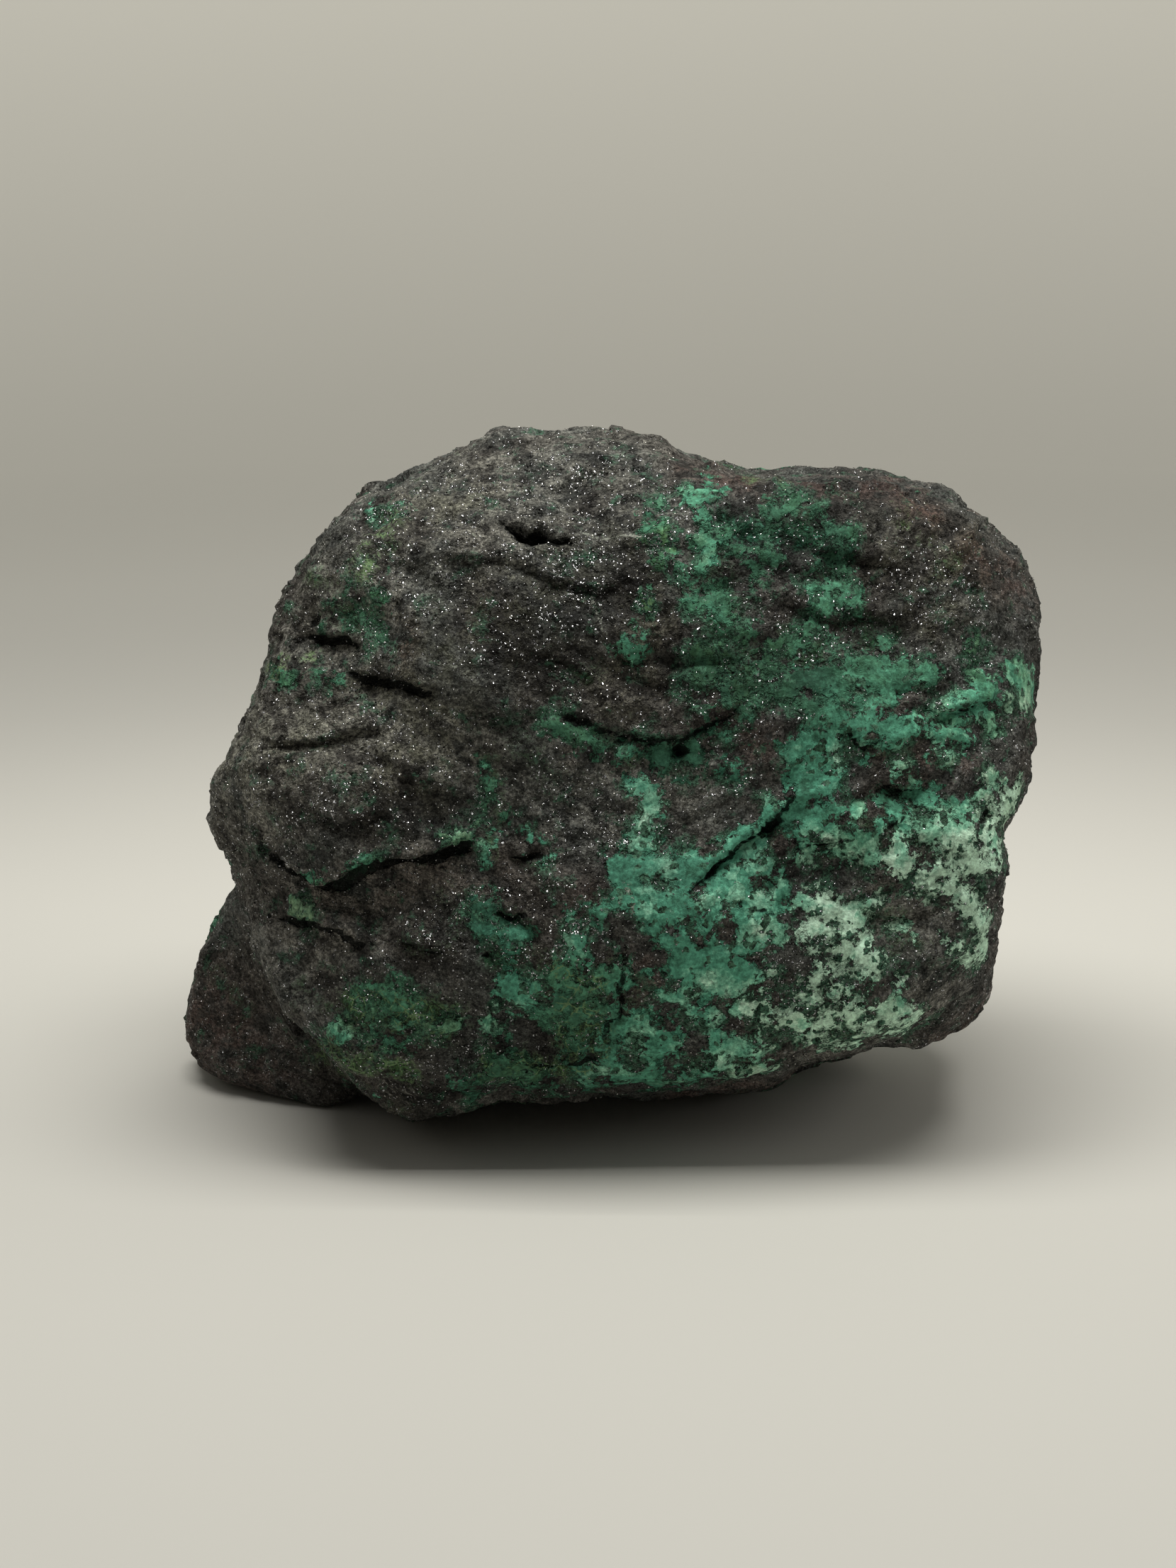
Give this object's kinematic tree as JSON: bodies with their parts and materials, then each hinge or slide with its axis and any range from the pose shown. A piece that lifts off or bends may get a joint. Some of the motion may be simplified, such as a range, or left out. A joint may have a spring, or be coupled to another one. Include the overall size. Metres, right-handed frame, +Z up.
{
  "type": "chrysocolla specimen",
  "caption": "Broken lump of dark sparkling rock with a blue-green chrysocolla crust on its broken face, resting on its own flat base.",
  "frame": {"origin": "on the table, under the middle of the stone's bounding box", "axes": "+X along the stone's width, to the right of its broken green face; +Y from that face towards the back, the shortest way through; +Z up"},
  "size_m": [0.1875, 0.1184, 0.1443],
  "materials": {
    "stone": "dark grey-brown rock with fine metallic sparkle, and a matt blue-green to pale mint crust over about a third of its front"
  },
  "bodies": {
    "root": {"stone": "stone"}
  },
  "joints": []
}
